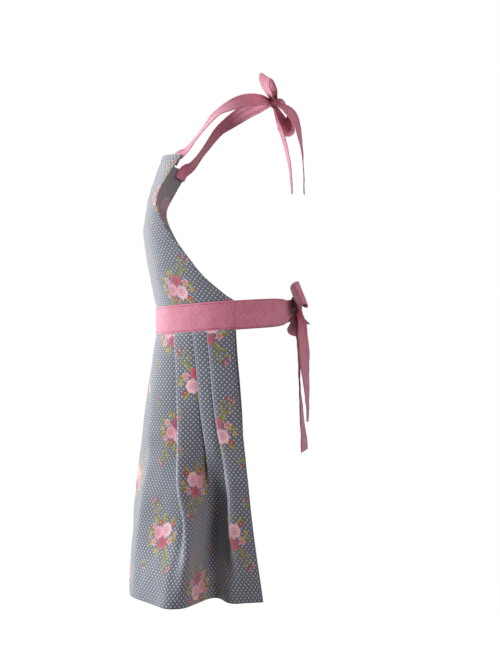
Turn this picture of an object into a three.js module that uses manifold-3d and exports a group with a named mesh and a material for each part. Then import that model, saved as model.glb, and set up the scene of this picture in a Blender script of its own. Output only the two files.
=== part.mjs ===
// A bib apron in the form it takes when it is worn: printed bib and pleated skirt, a plain band
// and ties round the waist, and straps tied in a bow at the nape.
// Millimetres, +Z up, the wearer faces -Y and the wearer's left is +X.
// The pieces are drawn in a body frame, with z = 0 at the lower edge of the waistband at centre front
// and x = y = 0 on the body's axis. The whole apron is then moved so that the nape is the origin.
import * as THREE from "three";
import { mergeVertices } from "three/addons/utils/BufferGeometryUtils.js";
import Module from "manifold-3d";

// Driving dimensions
const CLOTH_WALL = 1.0; // one layer of printed cotton
const BIB_WALL = 1.4; // the bib is faced
const BAND_WALL = 3.0; // waistband, with the seam allowances inside it
const TIE_WALL = 1.2; // ties and straps are sewn double
const SEAM_GAP = 0.3; // clearance between neighbouring pieces

const WAIST_HALF_WIDTH = 142;
const WAIST_HALF_DEPTH = 121;
const WAIST_RISE = 0.067; // the band climbs this much for each millimetre towards the back
const BAND_HEIGHT = 48;
const SIDE_ANGLE = 99; // degrees round the waist from centre front to the side edge

const SKIRT_DROP = 440;
const TIE_WIDTH = 48;
const STRAP_WIDTH = 28;

const NAPE_Y = 82; // where the straps bear on the back of the neck, in the body frame
const NAPE_Z = 418;

const WAIST_KNOT = { x: 0, y: 129, z: 57, halfWidth: 12, halfDepth: 9, halfHeight: 15 };
const NECK_KNOT = { x: 0, y: 87, z: 418, halfWidth: 9, halfDepth: 7, halfHeight: 10 };

const PRINT = { color: 0x8f939c, roughness: 0.85, metalness: 0, side: THREE.DoubleSide };
const PLAIN = { color: 0xc8788f, roughness: 0.8, metalness: 0, side: THREE.DoubleSide };

// Bib sections from the waistband up. Each is an arc from centre front to the side edge:
// wrap is the angle, in degrees, that the arc turns through.
const BIB_SECTIONS = [
  { up: 0, frontY: -121, edgeX: 140.3, edgeY: 18.9, wrap: 99 },
  { up: 12, frontY: -123.5, edgeX: 141.5, edgeY: 3, wrap: 94 },
  { up: 50, frontY: -132, edgeX: 139, edgeY: -36, wrap: 84 },
  { up: 98, frontY: -140.5, edgeX: 131, edgeY: -72, wrap: 76 },
  { up: 136, frontY: -144, edgeX: 122, edgeY: -97, wrap: 72 },
  { up: 184, frontY: -136.5, edgeX: 112, edgeY: -113, wrap: 70 },
  { up: 226, frontY: -124.5, edgeX: 107, edgeY: -95, wrap: 64 },
  { up: 268, frontY: -111, edgeX: 103, edgeY: -70, wrap: 58 },
];
const BIB_CORNER_DROP = 9; // the top corners hang below the middle of the top edge

// Skirt levels from the waist seam down to the hem, down being a share of the drop: centre front, side
// edge, half the length of cloth that a fold takes to turn, and how many degrees the cloth bears further
// back between front and side.
const SKIRT_LEVELS = [
  { down: 0, frontY: -119.5, edgeX: 138.8, edgeY: 18.7, turn: 1.4, bear: 0 },
  { down: 0.1, frontY: -128, edgeX: 143, edgeY: 21.5, turn: 1.7, bear: 8.5 },
  { down: 0.25, frontY: -139, edgeX: 152, edgeY: 27.5, turn: 2.6, bear: 10 },
  { down: 0.4, frontY: -147, edgeX: 160, edgeY: 35, turn: 4.5, bear: 8.5 },
  { down: 0.55, frontY: -154, edgeX: 166, edgeY: 42, turn: 8, bear: 7 },
  { down: 0.75, frontY: -161, edgeX: 169, edgeY: 52, turn: 12, bear: 1.5 },
  { down: 1, frontY: -166, edgeX: 172, edgeY: 68, turn: 18, bear: 0 },
];

// Cloth from centre front to the side edge. flat is its length, and hem the way it heads at the hem:
// 0 is straight across to the wearer's left, 90 straight back. A pleat folds outwards at the waist, so
// the cloth beside it lies on top and its edge looks to centre front. It starts to open at the first
// share of the drop and is wholly open at the second.
const CLOTH = [
  { piece: "centre", flat: 74, hem: 9 },
  { piece: "pleat", flat: 34, hem: 16, opens: 0.02, open: 0.5 },
  { piece: "panel", flat: 112, hem: 50 },
  { piece: "pleat", flat: 34, hem: 102, opens: 0.36, open: 1.05 },
  { piece: "panel", flat: 64, hem: 138 },
  { piece: "pleat", flat: 24, hem: 124, opens: 0.3, open: 0.71 },
  { piece: "panel", flat: 48, hem: 37 },
  { piece: "pleat", flat: 24, hem: 105, opens: 0.56, open: 1.03 },
  { piece: "panel", flat: 44, hem: 98 },
];
const FOLD_ANGLE = 178; // the layers of a fold fan out a little
const WAVES_FROM = 0.1; // the waves grow between these shares of the drop
const WAVES_TO = 0.85;
const RIGHT_FORWARD = 13; // low down, the right side edge hangs this much in front of the left one

// The folded layers are sewn into the band: out is how far they are drawn out to meet it, at degrees round
// the waist from centre front. The draw dies away by this share of the drop.
const SEAM_DRAW = [
  { angle: 0, out: 1.5 },
  { angle: 15, out: 0.6 },
  { angle: 28, out: 0.8 },
  { angle: 37, out: 2.4 },
  { angle: 47, out: 3.7 },
  { angle: 63, out: 6 },
  { angle: 66, out: 5 },
  { angle: 77, out: 4.6 },
  { angle: 83, out: 3 },
  { angle: 99, out: 1.5 },
];
const SEAM_DRAW_DOWN = 0.15;

// General helpers
const radians = THREE.MathUtils.degToRad;
const smooth = (low, high, value) => THREE.MathUtils.smoothstep(value, low, high);
const waistRise = (y) => WAIST_RISE * (y + WAIST_HALF_DEPTH);

// The row of a table at a key's value, every column on a smooth curve through the rows.
function rowAt(table, key, value) {
  const last = table.length - 1;
  const low = Math.max(0, table.slice(0, last).findLastIndex((row) => row[key] <= value));
  const [a, b] = [table[low], table[low + 1]];
  const before = table[Math.max(0, low - 1)];
  const after = table[Math.min(last, low + 2)];
  const span = b[key] - a[key];
  const u = Math.min(1, Math.max(0, (value - a[key]) / span));
  const row = {};
  for (const column of Object.keys(a)) {
    const slopeA = ((b[column] - before[column]) / (b[key] - before[key])) * span;
    const slopeB = ((after[column] - a[column]) / (after[key] - a[key])) * span;
    row[column] =
      (2 * u ** 3 - 3 * u ** 2 + 1) * a[column] +
      (u ** 3 - 2 * u ** 2 + u) * slopeA +
      (3 * u ** 2 - 2 * u ** 3) * b[column] +
      (u ** 3 - u ** 2) * slopeB;
  }
  return row;
}

// A section's arc, measured along its own length: at(share) gives the place and the outward direction.
function sectionArc(section) {
  const STEPS = 48;
  const wrap = radians(section.wrap);
  const depth = (section.edgeY - section.frontY) / (1 - Math.cos(wrap));
  const width = section.edgeX / Math.sin(wrap);
  const place = (angle) => ({
    x: width * Math.sin(angle),
    y: section.frontY + depth * (1 - Math.cos(angle)),
  });
  const lengths = [0];
  for (let i = 1; i <= STEPS; i++) {
    const [p, q] = [place((wrap * (i - 1)) / STEPS), place((wrap * i) / STEPS)];
    lengths.push(lengths[i - 1] + Math.hypot(q.x - p.x, q.y - p.y));
  }
  const length = lengths[STEPS];
  const at = (share) => {
    const wanted = share * length;
    let i = 1;
    while (i < STEPS && lengths[i] < wanted) i++;
    const angle = (wrap * (i - 1 + (wanted - lengths[i - 1]) / (lengths[i] - lengths[i - 1]))) / STEPS;
    const tangent = new THREE.Vector2(width * Math.cos(angle), depth * Math.sin(angle)).normalize();
    return { ...place(angle), outX: tangent.y, outY: -tangent.x };
  };
  return { at, length };
}

// A closed wall of even thickness about a grid of points, grid[row][column].
function wallGeometry(grid, thickness) {
  const rows = grid.length;
  const columns = grid[0].length;
  const normalAt = (r, c) => {
    const across = grid[r][Math.min(c + 1, columns - 1)].clone().sub(grid[r][Math.max(c - 1, 0)]);
    const along = grid[Math.min(r + 1, rows - 1)][c].clone().sub(grid[Math.max(r - 1, 0)][c]);
    return across.cross(along).normalize();
  };
  const positions = [];
  for (const side of [0.5, -0.5]) {
    grid.forEach((row, r) =>
      row.forEach((point, c) => {
        positions.push(...point.clone().addScaledVector(normalAt(r, c), side * thickness));
      }),
    );
  }
  const near = (r, c) => r * columns + c;
  const far = (r, c) => rows * columns + near(r, c);
  const index = [];
  const quad = (a, b, c, d) => index.push(a, b, c, a, c, d);
  for (let r = 0; r < rows - 1; r++) {
    for (let c = 0; c < columns - 1; c++) {
      quad(near(r, c), near(r, c + 1), near(r + 1, c + 1), near(r + 1, c));
      quad(far(r, c), far(r + 1, c), far(r + 1, c + 1), far(r, c + 1));
    }
  }
  for (let c = 0; c < columns - 1; c++) {
    quad(near(0, c + 1), near(0, c), far(0, c), far(0, c + 1));
    quad(near(rows - 1, c), near(rows - 1, c + 1), far(rows - 1, c + 1), far(rows - 1, c));
  }
  for (let r = 0; r < rows - 1; r++) {
    quad(near(r, 0), near(r + 1, 0), far(r + 1, 0), far(r, 0));
    quad(near(r + 1, columns - 1), near(r, columns - 1), far(r, columns - 1), far(r + 1, columns - 1));
  }
  const geometry = new THREE.BufferGeometry();
  geometry.setAttribute("position", new THREE.Float32BufferAttribute(positions, 3));
  geometry.setIndex(index);
  return geometry;
}

// A row of points from left edge to right edge. Both halves are worked out on the wearer's left.
const bothHalves = (left, right = left) => [
  ...left.slice(1).reverse(),
  ...right.map((p) => new THREE.Vector3(-p.x, p.y, p.z)),
];

// Joining and cutting
const wasm = await Module();
wasm.setup();

function solidOf(geometry) {
  const bare = geometry.clone();
  bare.deleteAttribute("normal");
  bare.deleteAttribute("uv");
  const merged = mergeVertices(bare, 1e-3);
  return new wasm.Manifold(
    new wasm.Mesh({
      numProp: 3,
      vertProperties: merged.attributes.position.array,
      triVerts: new Uint32Array(merged.index.array),
    }),
  );
}

function geometryOf(solid) {
  const mesh = solid.getMesh();
  const geometry = new THREE.BufferGeometry();
  geometry.setAttribute("position", new THREE.BufferAttribute(mesh.vertProperties, mesh.numProp));
  geometry.setIndex(new THREE.BufferAttribute(mesh.triVerts, 1));
  return geometry;
}

// What is left of a piece outside the given solids: its largest body.
function trimmed(geometry, ...cutters) {
  let solid = solidOf(geometry);
  for (const cutter of cutters) solid = solid.subtract(cutter);
  const bodies = solid.decompose().sort((a, b) => b.volume() - a.volume());
  return geometryOf(bodies[0]);
}

// Bib
function bibGeometry() {
  const ROWS = 11;
  const HALF_COLUMNS = 8;
  const top = BIB_SECTIONS[BIB_SECTIONS.length - 1].up;
  const grid = [];
  for (let r = ROWS; r >= 0; r--) {
    const share = r / ROWS;
    const arc = sectionArc(rowAt(BIB_SECTIONS, "up", share * top));
    const half = [];
    for (let c = 0; c <= HALF_COLUMNS; c++) {
      const across = c / HALF_COLUMNS;
      const { x, y } = arc.at(across);
      const tilt = waistRise(y) * (1 - share);
      const drop = BIB_CORNER_DROP * share ** 3 * across ** 2;
      half.push(new THREE.Vector3(x, y, BAND_HEIGHT + SEAM_GAP + share * top + tilt - drop));
    }
    grid.push(bothHalves(half));
  }
  return wallGeometry(grid, BIB_WALL);
}

// Skirt
// The way the waist heads at a length along it from centre front.
function waistHeading(length) {
  const wrap = { frontY: -WAIST_HALF_DEPTH, edgeX: WAIST_HALF_WIDTH, edgeY: 0, wrap: 90 };
  const quarter = sectionArc(wrap);
  const { outX, outY } = quarter.at(Math.min(1, Math.max(0, length / quarter.length)));
  const heading = THREE.MathUtils.radToDeg(Math.atan2(outX, -outY));
  return length > quarter.length ? heading + 0.5 * (length - quarter.length) : heading;
}

// Where each length of cloth starts, on the flat and round the waist.
let flatStart = 0;
let waistStart = 0;
for (const cloth of CLOTH) {
  cloth.start = flatStart;
  cloth.waistStart = waistStart;
  cloth.forward = cloth.piece === "pleat" ? -1 : 1;
  flatStart += cloth.flat;
  waistStart += cloth.forward * cloth.flat;
}

// How much of a place on the flat belongs to a length of cloth, softened at both its ends.
const belongs = (flat, start, end, turn) =>
  smooth(start - turn, start + turn, flat) - smooth(end - turn, end + turn, flat);

// The pleats as they are at one level: where the folded cloth starts and ends on the flat, the way it
// heads, and the angle at which the cloth after it settles back onto the body. The last panel hangs free.
function pleatsAt(down, turn) {
  const SAMPLES = 60;
  return CLOTH.flatMap((cloth, i) => {
    if (cloth.piece !== "pleat") return [];
    const next = CLOTH[i + 1];
    const open = smooth(cloth.opens, cloth.open, down);
    const middle = cloth.start + cloth.flat / 2;
    const depth = cloth.flat * (1 - open);
    const span = depth + 4 * turn;
    let rise = 0;
    for (let k = 0; k < SAMPLES; k++) {
      const flat = middle + span * ((k + 0.5) / SAMPLES - 0.5);
      const folded = belongs(flat, middle - depth / 2, middle + depth / 2, turn);
      rise += (span / SAMPLES) * Math.sin(Math.PI * folded);
    }
    const clear = middle + 1.5 * depth;
    const panelEnd = next.start + next.flat;
    const following = CLOTH[i + 2] ?? { flat: 0, start: Infinity };
    const slope = Math.min(0.3, rise / (following.start - clear));
    const settle = THREE.MathUtils.radToDeg(Math.asin(slope));
    const settled = panelEnd + following.flat;
    const loose = THREE.MathUtils.lerp(Math.max(CLOTH[i - 1].hem, next.hem), cloth.hem, open);
    return [{ cloth, start: middle - depth / 2, end: middle + depth / 2, loose, clear, settled, settle }];
  });
}

// The way the cloth heads at a place on the flat, at one level.
function clothHeading(flat, { down, turn, bear }, pleats) {
  const first = CLOTH[0];
  const last = CLOTH[CLOTH.length - 1];
  const waves = smooth(WAVES_FROM, WAVES_TO, down);
  let heading = bear * Math.sin((Math.PI * flat) / flatStart);
  for (const cloth of CLOTH) {
    const start = cloth === first ? -1e3 : cloth.start;
    const end = cloth === last ? 1e3 : cloth.start + cloth.flat;
    const pressed = waistHeading(cloth.waistStart + cloth.forward * (flat - cloth.start));
    const pleat = pleats.find((p) => p.cloth === cloth);
    const calm = cloth === first ? smooth(0, cloth.flat, flat) : 1;
    const loose = calm * (pleat ? pleat.loose : cloth.hem);
    heading += THREE.MathUtils.lerp(pressed, loose, waves) * belongs(flat, start, end, turn);
  }
  for (const { start, end, clear, settled, settle } of pleats) {
    heading -= FOLD_ANGLE * belongs(flat, start, end, turn);
    heading += settle * belongs(flat, clear, settled, turn);
  }
  return radians(heading);
}

// Places along the flat cloth where the grid has its columns: close together round each fold.
function skirtColumns(turn, pleats) {
  const FOLD_STEPS = [-1, -0.5, 0, 0.5, 1];
  const PANEL_STEP = 32;
  const edges = pleats.flatMap(({ start, end }) => {
    const middle = (start + end) / 2;
    const half = Math.max(8, (end - start) / 2);
    return [middle - half, middle + half];
  });
  const bounds = [0, ...edges, flatStart];
  const room = (i) => Math.min(turn, 0.42 * (bounds[i + 1] - bounds[i]));
  const places = [0];
  for (let i = 0; i < bounds.length - 1; i++) {
    const begin = bounds[i] + (i ? room(i) : 0);
    const end = bounds[i + 1] - (i < bounds.length - 2 ? room(i) : 0);
    const steps = Math.max(1, Math.round(CLOTH[i].flat / PANEL_STEP));
    for (let k = 1; k < steps; k++) places.push(begin + ((end - begin) * k) / steps);
    if (i === bounds.length - 2) places.push(flatStart);
    else FOLD_STEPS.forEach((f) => places.push(bounds[i + 1] + f * room(f < 0 ? i : i + 1)));
  }
  return places;
}

// The cloth's line at one level, from centre front to the side edge, drawn to the level's width and depth.
function clothLine(level) {
  const SUB_STEPS = 12;
  const pleats = pleatsAt(level.down, level.turn);
  const places = skirtColumns(level.turn, pleats);
  const line = [new THREE.Vector2(0, 0)];
  for (let i = 1; i < places.length; i++) {
    const step = (places[i] - places[i - 1]) / SUB_STEPS;
    const point = line[i - 1].clone();
    for (let k = 0; k < SUB_STEPS; k++) {
      const heading = clothHeading(places[i - 1] + (k + 0.5) * step, level, pleats);
      point.x += step * Math.cos(heading);
      point.y += step * Math.sin(heading);
    }
    line.push(point);
  }
  const end = line[line.length - 1];
  const fit = new THREE.Vector2(level.edgeX / end.x, (level.edgeY - level.frontY) / end.y);
  return line.map((p) => new THREE.Vector2(p.x * fit.x, level.frontY + p.y * fit.y));
}

// A place on the skirt, drawn out to the band near the waist seam.
function drawnToBand({ x, y }, down) {
  const angle = Math.atan2(x / WAIST_HALF_WIDTH, -y / WAIST_HALF_DEPTH);
  const out = new THREE.Vector2(Math.sin(angle) / WAIST_HALF_WIDTH, -Math.cos(angle) / WAIST_HALF_DEPTH);
  const draw = rowAt(SEAM_DRAW, "angle", THREE.MathUtils.radToDeg(angle)).out;
  const fade = 1 - smooth(0, SEAM_DRAW_DOWN, down);
  return new THREE.Vector2(x, y).addScaledVector(out.normalize(), draw * fade);
}

function skirtGeometry() {
  const LEVELS = [0, 0.06, 0.13, 0.21, 0.29, 0.37, 0.45, 0.54, 0.64, 0.75, 0.88, 1];
  const grid = LEVELS.map((down) => {
    const level = rowAt(SKIRT_LEVELS, "down", down);
    const forward = RIGHT_FORWARD * smooth(0.2, 0.8, down);
    const half = (edgeY) =>
      clothLine({ ...level, edgeY }).map((place) => {
        const { x, y } = drawnToBand(place, down);
        return new THREE.Vector3(x, y, waistRise(y) * (1 - down) - SEAM_GAP - SKIRT_DROP * down);
      });
    return bothHalves(half(level.edgeY), half(level.edgeY - forward));
  });
  return wallGeometry(grid, CLOTH_WALL);
}

// Waistband and the line of the waist
function waistPoint(angle, height) {
  const y = -WAIST_HALF_DEPTH * Math.cos(radians(angle));
  return new THREE.Vector3(WAIST_HALF_WIDTH * Math.sin(radians(angle)), y, height + waistRise(y));
}

function waistbandGeometry(grow = 0) {
  const STEPS = 30;
  const HEIGHTS = [BAND_HEIGHT + grow, BAND_HEIGHT / 2, -grow];
  const reach = SIDE_ANGLE + THREE.MathUtils.radToDeg(grow / WAIST_HALF_DEPTH);
  const grid = HEIGHTS.map((height) => {
    const row = [];
    for (let i = 0; i <= STEPS; i++) row.push(waistPoint(reach - (2 * reach * i) / STEPS, height));
    return row;
  });
  return wallGeometry(grid, BAND_WALL + 2 * grow);
}

// A strip of cloth through stations: its middle, its width, the way it faces and how deep it is crimped
// across by being gathered.
function stripGeometry(stations, steps, thickness) {
  const ACROSS = 6;
  const CRIMPS = 2.5;
  const curve = (names) =>
    new THREE.CatmullRomCurve3(
      stations.map((s) => new THREE.Vector3(...names.map((name) => s[name]))),
      false,
      "centripetal",
    );
  const middle = curve(["x", "y", "z"]);
  const facing = curve(["faceX", "faceY", "faceZ"]);
  const make = curve(["width", "crimp", "crimp"]);
  const grid = [];
  for (let i = 0; i <= steps; i++) {
    const u = i / steps;
    const along = middle.getTangent(u);
    const side = new THREE.Vector3().crossVectors(facing.getPoint(u), along).normalize();
    const out = new THREE.Vector3().crossVectors(along, side);
    const { x: width, y: crimp } = make.getPoint(u);
    const row = [];
    for (let k = 0; k <= ACROSS; k++) {
      const f = (2 * k) / ACROSS - 1;
      row.push(
        middle
          .getPoint(u)
          .addScaledVector(side, (f * width) / 2)
          .addScaledVector(out, crimp * Math.cos(CRIMPS * Math.PI * f)),
      );
    }
    grid.push(row);
  }
  return wallGeometry(grid, thickness);
}

const mirrored = (stations) => stations.map((s) => ({ ...s, x: -s.x, faceX: -s.faceX }));

// A bow's knot: a soft barrel, and the same barrel grown by the clearance, for trimming what runs into it.
function knotGeometry(knot, grow = 0) {
  const PROFILE_STEPS = 6;
  const SIDES = 14;
  const profile = [];
  for (let i = 0; i <= PROFILE_STEPS; i++) {
    const angle = Math.PI * (i / PROFILE_STEPS - 0.5);
    const flat = Math.sign(Math.sin(angle)) * Math.abs(Math.sin(angle)) ** 0.8;
    profile.push(new THREE.Vector2(Math.cos(angle) ** 0.7, flat));
  }
  profile[0].x = 0;
  profile[PROFILE_STEPS].x = 0;
  return new THREE.LatheGeometry(profile, SIDES)
    .rotateX(Math.PI / 2)
    .scale(knot.halfWidth + grow, knot.halfDepth + grow, knot.halfHeight + grow)
    .translate(knot.x, knot.y, knot.z);
}

// A bow's loop as strip stations: out from the knot along one way, round, and back above itself.
function loopStations({ knot, out, up, length, height, droop, width }) {
  const STATIONS = 12;
  const ahead = new THREE.Vector3(...out).normalize();
  const side = new THREE.Vector3().crossVectors(ahead, new THREE.Vector3(...up)).normalize();
  const rise = new THREE.Vector3().crossVectors(side, ahead);
  const stations = [];
  for (let i = 0; i <= STATIONS; i++) {
    const turn = (2 * Math.PI * i) / STATIONS;
    const reach = (1 - Math.cos(turn)) / 2;
    const across = -Math.sin(turn) * (1 - 0.45 * Math.cos(turn)) * 0.5 + 0.12 * (i / STATIONS - 0.5);
    const gather = smooth(0, 0.5, reach);
    const place = new THREE.Vector3(knot.x, knot.y, knot.z)
      .addScaledVector(ahead, length * reach)
      .addScaledVector(rise, height * across);
    const facing = new THREE.Vector3()
      .addScaledVector(ahead, -Math.cos(turn))
      .addScaledVector(rise, -Math.sin(turn));
    stations.push({
      x: place.x,
      y: place.y,
      z: place.z - droop * reach ** 2,
      width: width * THREE.MathUtils.lerp(0.34, 1, gather),
      crimp: 2.2 * (1 - gather),
      faceX: facing.x,
      faceY: facing.y,
      faceZ: facing.z,
    });
  }
  return stations;
}

// Waist ties
function tieStations() {
  const TIE_ANGLES = [SIDE_ANGLE - 0.5, 112, 124, 136, 147, 156, 164];
  const stations = TIE_ANGLES.map((angle) => {
    const gather = smooth(140, 178, angle);
    const place = waistPoint(angle, BAND_HEIGHT / 2 + 14 * gather ** 2);
    return {
      ...place,
      width: TIE_WIDTH * (1 - 0.55 * gather),
      crimp: 1.6 * gather,
      faceX: Math.sin(radians(angle)),
      faceY: -Math.cos(radians(angle)),
      faceZ: 0,
    };
  });
  const { x, y, z } = WAIST_KNOT;
  stations.push({ x, y: y - 7, z, width: 15, crimp: 1.2, faceX: 0, faceY: 1, faceZ: 0 });
  return stations;
}

const WAIST_TAIL_LEFT = [
  { x: 3, y: 132, z: 47, width: 15, crimp: 1.8, faceX: 0.45, faceY: 0.9, faceZ: 0.1 },
  { x: 9, y: 138, z: 26, width: 28, crimp: 1.4, faceX: 0.5, faceY: 0.85, faceZ: 0 },
  { x: 16, y: 141, z: -8, width: 41, crimp: 0.8, faceX: 0.5, faceY: 0.86, faceZ: 0 },
  { x: 23, y: 144, z: -60, width: 47, crimp: 0.5, faceX: 0.36, faceY: 0.93, faceZ: 0 },
  { x: 28, y: 147, z: -110, width: TIE_WIDTH, crimp: 0.4, faceX: 0.2, faceY: 0.98, faceZ: 0 },
  { x: 31, y: 148, z: -154, width: TIE_WIDTH, crimp: 0.2, faceX: 0.08, faceY: 0.99, faceZ: 0 },
];
const WAIST_TAIL_RIGHT = [
  { x: -2, y: 127, z: 43, width: 14, crimp: 1.4, faceX: -0.3, faceY: 0.95, faceZ: 0.1 },
  { x: -8, y: 128, z: 20, width: 28, crimp: 1.4, faceX: -0.25, faceY: 0.95, faceZ: 0 },
  { x: -22, y: 134, z: -18, width: 41, crimp: 0.8, faceX: -0.1, faceY: 1, faceZ: 0 },
  { x: -31, y: 136, z: -80, width: 47, crimp: 0.5, faceX: 0.05, faceY: 1, faceZ: 0 },
  { x: -36, y: 141, z: -150, width: TIE_WIDTH, crimp: 0.4, faceX: 0.16, faceY: 0.98, faceZ: 0 },
  { x: -38, y: 146, z: -213, width: TIE_WIDTH, crimp: 0.2, faceX: 0.3, faceY: 0.95, faceZ: 0 },
];
const WAIST_LOOP_LEFT = {
  knot: { ...WAIST_KNOT, y: WAIST_KNOT.y + 3 },
  out: [0.98, 0, 0.14],
  up: [0, 0.92, 0.38],
  length: 90,
  height: 13,
  droop: -2,
  width: 42,
};
const WAIST_LOOP_RIGHT = {
  ...WAIST_LOOP_LEFT,
  out: [-0.97, 0.02, 0],
  up: [0, 0.98, 0.05],
  height: 16,
  droop: 40,
};

// Neck straps, from behind the top corners of the bib over the shoulders to the nape
const STRAP_LEFT = [
  { x: 92.3, y: -86.5, z: 292, width: STRAP_WIDTH, crimp: 0, faceX: 0.58, faceY: -0.76, faceZ: 0.3 },
  { x: 91.3, y: -78.5, z: 306, width: STRAP_WIDTH, crimp: 0, faceX: 0.58, faceY: -0.74, faceZ: 0.36 },
  { x: 93, y: -64, z: 316, width: STRAP_WIDTH, crimp: 0, faceX: 0.42, faceY: -0.7, faceZ: 0.56 },
  { x: 92, y: -47, z: 337, width: STRAP_WIDTH, crimp: 0, faceX: 0.26, faceY: -0.68, faceZ: 0.68 },
  { x: 88, y: -30, z: 359, width: STRAP_WIDTH, crimp: 0, faceX: 0.3, faceY: -0.58, faceZ: 0.76 },
  { x: 82, y: -13, z: 380, width: STRAP_WIDTH, crimp: 0, faceX: 0.42, faceY: -0.38, faceZ: 0.82 },
  { x: 74, y: 5, z: 393, width: STRAP_WIDTH, crimp: 0.1, faceX: 0.6, faceY: -0.08, faceZ: 0.8 },
  { x: 63, y: 22, z: 403, width: STRAP_WIDTH, crimp: 0.2, faceX: 0.7, faceY: 0.22, faceZ: 0.68 },
  { x: 50, y: 39, z: 411, width: 27, crimp: 0.4, faceX: 0.72, faceY: 0.45, faceZ: 0.52 },
  { x: 34, y: 57, z: 416, width: 25, crimp: 0.7, faceX: 0.62, faceY: 0.64, faceZ: 0.44 },
  { x: 17, y: 72, z: 418, width: 19, crimp: 1, faceX: 0.4, faceY: 0.86, faceZ: 0.3 },
  { x: 0, y: 84, z: 417, width: 10, crimp: 1, faceX: 0.1, faceY: 0.98, faceZ: 0.15 },
];
const NECK_TAIL_LEFT = [
  { x: 3, y: 90, z: 413, width: 11, crimp: 1, faceX: 0.5, faceY: 0.5, faceZ: 0.7 },
  { x: 9, y: 102, z: 410, width: 20, crimp: 0.9, faceX: 0.66, faceY: 0.45, faceZ: 0.6 },
  { x: 16, y: 117, z: 398, width: 26, crimp: 0.6, faceX: 0.7, faceY: 0.52, faceZ: 0.48 },
  { x: 21, y: 129, z: 376, width: STRAP_WIDTH, crimp: 0.4, faceX: 0.52, faceY: 0.82, faceZ: 0.25 },
  { x: 24, y: 137, z: 335, width: STRAP_WIDTH, crimp: 0.2, faceX: 0.2, faceY: 0.97, faceZ: 0 },
  { x: 26, y: 141, z: 292, width: STRAP_WIDTH, crimp: 0.1, faceX: 0.06, faceY: 1, faceZ: 0 },
  { x: 27, y: 142, z: 250, width: STRAP_WIDTH, crimp: 0, faceX: 0.1, faceY: 1, faceZ: 0 },
];
const NECK_TAIL_RIGHT = [
  { x: -1, y: 89, z: 410, width: 9, crimp: 1.2, faceX: -0.2, faceY: 0.95, faceZ: 0.2 },
  { x: -5, y: 93, z: 394, width: 16, crimp: 0.9, faceX: -0.2, faceY: 0.95, faceZ: 0.2 },
  { x: -11, y: 101, z: 372, width: 24, crimp: 0.6, faceX: -0.2, faceY: 0.92, faceZ: 0.3 },
  { x: -16, y: 110, z: 344, width: 27, crimp: 0.4, faceX: -0.15, faceY: 0.95, faceZ: 0.2 },
  { x: -19, y: 118, z: 306, width: STRAP_WIDTH, crimp: 0.2, faceX: -0.1, faceY: 0.98, faceZ: 0.1 },
  { x: -20, y: 123, z: 256, width: STRAP_WIDTH, crimp: 0, faceX: 0, faceY: 1, faceZ: 0.05 },
];
const NECK_LOOP_LEFT = {
  knot: { ...NECK_KNOT, y: NECK_KNOT.y + 3, z: NECK_KNOT.z + 3 },
  out: [0.8, -0.3, 0.52],
  up: [-0.2, 0.7, 0.64],
  length: 58,
  height: 11,
  droop: -3,
  width: STRAP_WIDTH,
};
const NECK_LOOP_RIGHT = {
  knot: { ...NECK_KNOT, x: -2, y: NECK_KNOT.y + 2, z: NECK_KNOT.z + 1 },
  out: [-0.88, 0.45, 0.05],
  up: [0.3, 0.8, 0.3],
  length: 62,
  height: 16,
  droop: 42,
  width: STRAP_WIDTH,
};

// Assembly
const apron = new THREE.Group();

function add(name, geometry, look) {
  const mesh = new THREE.Mesh(geometry, new THREE.MeshStandardMaterial(look));
  mesh.name = name;
  geometry.computeVertexNormals();
  apron.add(mesh);
}

const waistKnotRoom = solidOf(knotGeometry(WAIST_KNOT, SEAM_GAP));
const neckKnotRoom = solidOf(knotGeometry(NECK_KNOT, SEAM_GAP));
const bandRoom = solidOf(waistbandGeometry(SEAM_GAP));
const strip = (stations, steps, ...rooms) => trimmed(stripGeometry(stations, steps, TIE_WALL), ...rooms);

add("bib", bibGeometry(), PRINT);
add("skirt", skirtGeometry(), PRINT);
add("waistband", waistbandGeometry(), PLAIN);

add("waist_knot", knotGeometry(WAIST_KNOT), PLAIN);
add("waist_tie_left", strip(tieStations(), 14, waistKnotRoom, bandRoom), PLAIN);
add("waist_tie_right", strip(mirrored(tieStations()), 14, waistKnotRoom, bandRoom), PLAIN);
add("waist_loop_left", strip(loopStations(WAIST_LOOP_LEFT), 16, waistKnotRoom), PLAIN);
add("waist_loop_right", strip(loopStations(WAIST_LOOP_RIGHT), 16, waistKnotRoom), PLAIN);
add("waist_tail_left", strip(WAIST_TAIL_LEFT, 10, waistKnotRoom), PLAIN);
add("waist_tail_right", strip(WAIST_TAIL_RIGHT, 11, waistKnotRoom), PLAIN);

add("neck_knot", knotGeometry(NECK_KNOT), PLAIN);
add("neck_strap_left", strip(STRAP_LEFT, 16, neckKnotRoom), PLAIN);
add("neck_strap_right", strip(mirrored(STRAP_LEFT), 16, neckKnotRoom), PLAIN);
add("neck_loop_left", strip(loopStations(NECK_LOOP_LEFT), 16, neckKnotRoom), PLAIN);
add("neck_loop_right", strip(loopStations(NECK_LOOP_RIGHT), 16, neckKnotRoom), PLAIN);
add("neck_tail_left", strip(NECK_TAIL_LEFT, 11, neckKnotRoom), PLAIN);
add("neck_tail_right", strip(NECK_TAIL_RIGHT, 10, neckKnotRoom), PLAIN);

apron.position.set(0, -NAPE_Y, -NAPE_Z);
const worn = new THREE.Group();
worn.add(apron);

export default worn;
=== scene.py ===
"""A bib apron in the form it takes when it is worn: printed bib and pleated skirt, a pink band and ties
round the waist, and pink straps tied in a bow at the nape.

The shapes are worked out in millimetres in a body frame, with z = 0 at the lower edge of the waistband
at centre front and x = y = 0 on the body's axis, and are moved to the part's frame in metres at the end.
The wearer faces -Y and the wearer's left is +X.
"""
import math

import bmesh
import bpy
import numpy as np
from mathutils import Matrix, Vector, noise


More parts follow.
